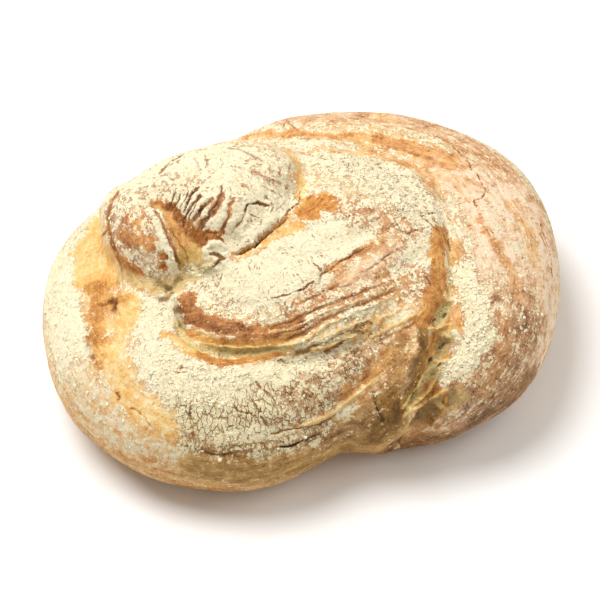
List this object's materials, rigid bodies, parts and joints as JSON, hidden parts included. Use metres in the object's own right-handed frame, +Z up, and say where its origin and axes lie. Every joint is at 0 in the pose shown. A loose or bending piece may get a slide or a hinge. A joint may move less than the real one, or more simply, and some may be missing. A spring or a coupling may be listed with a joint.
{
  "type": "rye bread loaf",
  "caption": "Large coiled country rye loaf with a tucked-in knob on top, a torn side seam, a floured crust and a flat base to rest on.",
  "frame": {"origin": "middle of the loaf's extent in plan, on the flat base it rests on", "axes": "+Z up, +X to the right as seen in the picture, +Y away from the viewer; the knob is at -X"},
  "size_m": [0.2782, 0.2414, 0.1096],
  "materials": {
    "floured_crust": "matte golden-brown baked crust, mostly under a patchy coat of cream-white flour"
  },
  "bodies": {
    "root": {"loaf": "floured_crust"}
  },
  "joints": []
}
